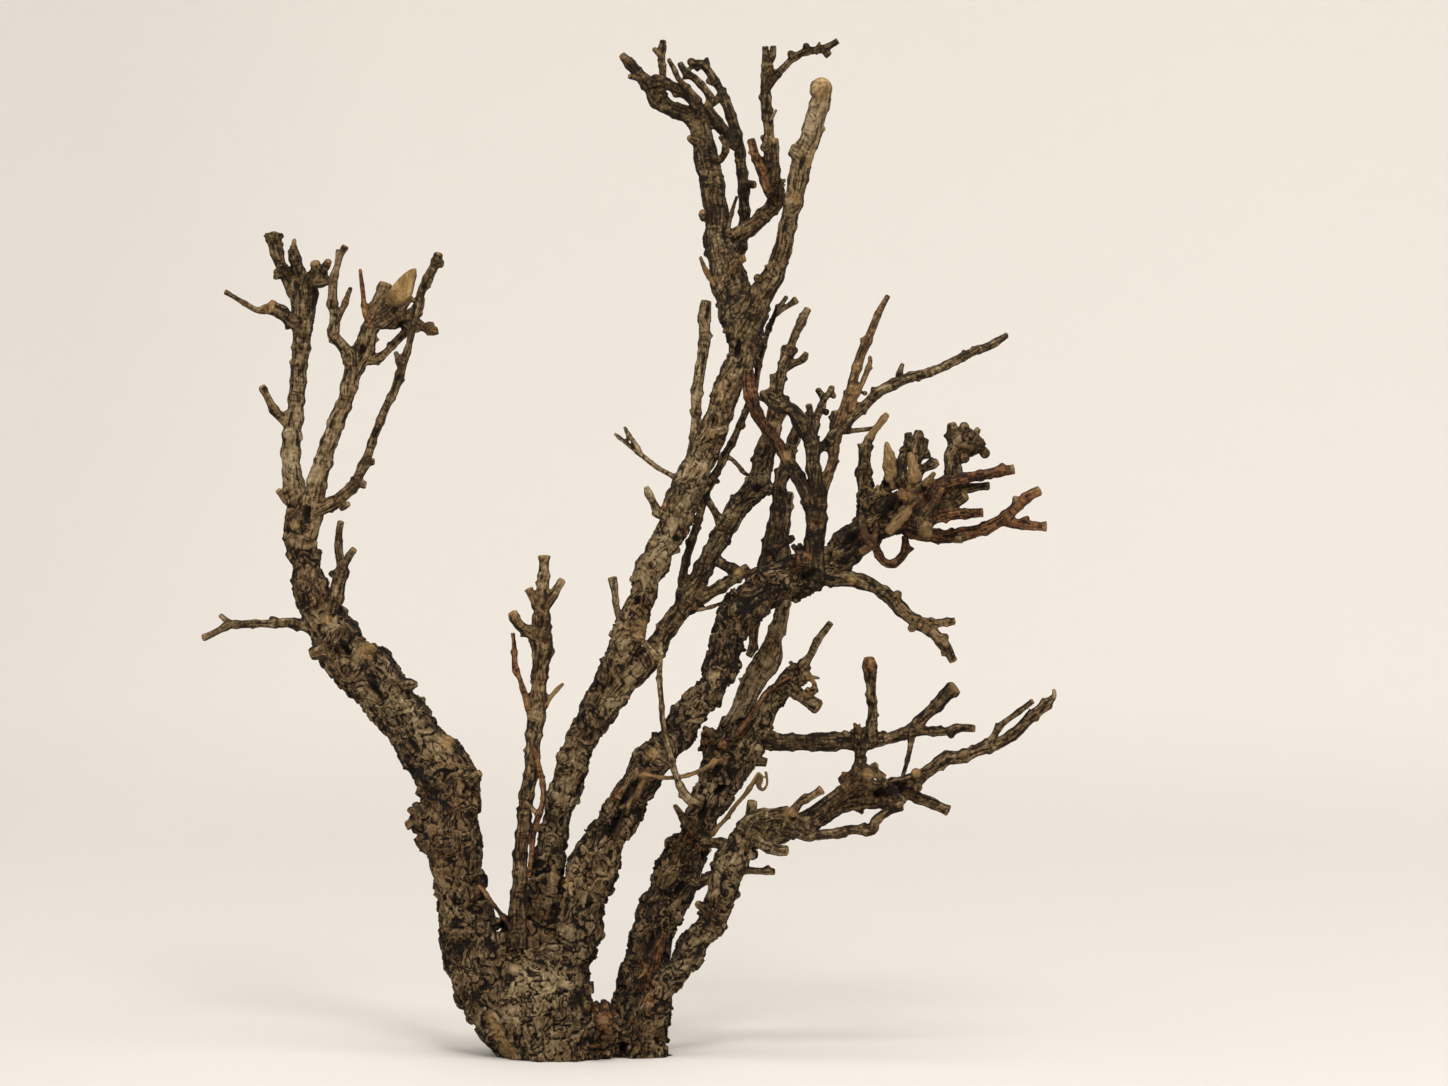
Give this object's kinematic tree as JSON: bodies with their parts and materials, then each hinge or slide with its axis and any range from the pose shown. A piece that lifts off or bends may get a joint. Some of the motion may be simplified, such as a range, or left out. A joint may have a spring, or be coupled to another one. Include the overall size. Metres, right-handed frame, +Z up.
{
  "type": "driftwood",
  "caption": "Upright weathered driftwood stump with forked bare limbs and gnarled twigs, standing free on a flat sawn base.",
  "frame": {"origin": "centre of the flat sawn base, on the surface it stands on", "axes": "+Z up the wood, +X to the right as it is seen, -Y towards the viewer"},
  "size_m": [0.2774, 0.0605, 0.3482],
  "materials": {
    "weathered_bark": "matte",
    "grey_worn_wood": "matte",
    "brown_twig": "matte",
    "rusty_twig": "matte"
  },
  "bodies": {
    "root": {"stump": "weathered_bark", "left_limb": "weathered_bark", "tall_limb": "weathered_bark", "leaning_limb": "weathered_bark", "right_limb": "weathered_bark", "low_limb": "weathered_bark", "crook": "weathered_bark", "crown_left": "grey_worn_wood", "crown_right": "grey_worn_wood", "outer_fork": "grey_worn_wood", "middle_fork": "grey_worn_wood", "inner_fork": "grey_worn_wood", "inner_limb": "grey_worn_wood", "rear_fork": "grey_worn_wood", "knobbed_fork": "grey_worn_wood", "slender_fork": "brown_twig", "slender_shoot": "brown_twig", "crown_stem": "brown_twig", "crown_middle": "brown_twig", "thin_stem": "brown_twig", "upright_stem": "brown_twig", "burl_cluster": "brown_twig", "drooping_branch": "brown_twig", "antler_stem": "brown_twig", "spray_stem": "brown_twig", "long_twig": "brown_twig", "level_branch": "brown_twig", "lower_twig": "brown_twig", "outer_limb": "brown_twig", "bent_rod": "rusty_twig"}
  },
  "joints": []
}
